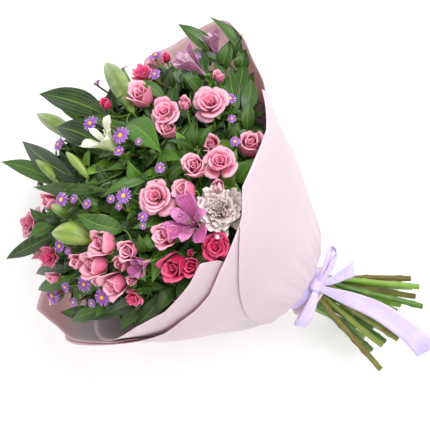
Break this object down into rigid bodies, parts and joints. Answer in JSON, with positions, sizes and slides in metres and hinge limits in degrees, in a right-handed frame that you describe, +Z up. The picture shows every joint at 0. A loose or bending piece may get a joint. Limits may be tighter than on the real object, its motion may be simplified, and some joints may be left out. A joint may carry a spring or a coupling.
{
  "type": "mixed flower bouquet",
  "caption": "Hand-tied mixed bouquet of roses, lilies, alstroemeria and asters in a flared paper wrap with a satin ribbon, lying on its side.",
  "frame": {"origin": "middle of the bouquet's footprint on the surface it lies on", "axes": "+Z up; +X from the cut stem ends towards the flower heads; +Y to the left of that"},
  "size_m": [0.6092, 0.4496, 0.3886],
  "materials": {
    "foliage": "waxy green leaf and stem; leather stands in for plant tissue",
    "pale_petal": "soft velvety petal; fabric stands in for petals",
    "hot_petal": "soft velvety petal; fabric stands in for petals",
    "mauve_petal": "satiny petal; fabric stands in for petals",
    "cream_petal": "satiny petal; fabric stands in for petals",
    "wrap": "matt wrapping paper",
    "ribbon": "satin ribbon",
    "twine": "plain twine"
  },
  "bodies": {
    "root": {"alstroemeria_a": "mauve_petal", "alstroemeria_b": "mauve_petal", "alstroemeria_c": "mauve_petal", "alstroemeria_d": "mauve_petal", "alstroemeria_stem_low": "foliage", "alstroemeria_stem_top": "foliage", "aster_spray_left": "foliage", "aster_spray_low": "foliage", "aster_spray_middle": "foliage", "aster_spray_right": "foliage", "aster_spray_top": "foliage", "aster_spray_upper_left": "foliage", "carnation_a": "hot_petal", "carnation_b": "hot_petal", "carnation_c": "hot_petal", "carnation_stem_left": "foliage", "carnation_stem_low": "foliage", "carnation_stem_top": "foliage", "cream_lily": "cream_petal", "far_aster_spray": "foliage", "far_rose_spray_left": "foliage", "far_rose_spray_low": "foliage", "far_rose_spray_right": "foliage", "hot_rose_a": "hot_petal", "hot_rose_b": "hot_petal", "hot_rose_c": "hot_petal", "hot_rose_spray": "foliage", "lily_stem_left": "foliage", "lily_stem_open": "foliage", "lily_stem_upper": "foliage", "pale_rose_cup_a": "pale_petal", "pale_rose_cup_b": "pale_petal", "pale_rose_cup_c": "pale_petal", "pale_rose_cup_d": "pale_petal", "pale_rose_cup_e": "pale_petal", "pale_rose_cup_f": "pale_petal", "pale_rose_cup_g": "pale_petal", "pale_rose_cup_h": "pale_petal", "pale_rose_cup_i": "pale_petal", "pale_rose_cup_j": "pale_petal", "pale_rose_cup_k": "pale_petal", "pale_rose_open_a": "pale_petal", "pale_rose_open_b": "pale_petal", "pale_rose_open_c": "pale_petal", "pale_rose_open_d": "pale_petal", "pale_rose_open_e": "pale_petal", "pale_rose_spray_far_left": "foliage", "pale_rose_spray_left": "foliage", "pale_rose_spray_low": "foliage", "pale_rose_spray_middle": "foliage", "pale_rose_spray_top_left": "foliage", "pale_rose_spray_upper": "foliage", "paper_back_sheet": "wrap", "paper_left_sheet": "wrap", "paper_right_sheet": "wrap", "ribbon_band": "ribbon", "ribbon_bow": "ribbon", "ruffled_white_bloom": "cream_petal", "ruffled_white_stem": "foliage", "stem_twine": "twine"}
  },
  "joints": []
}
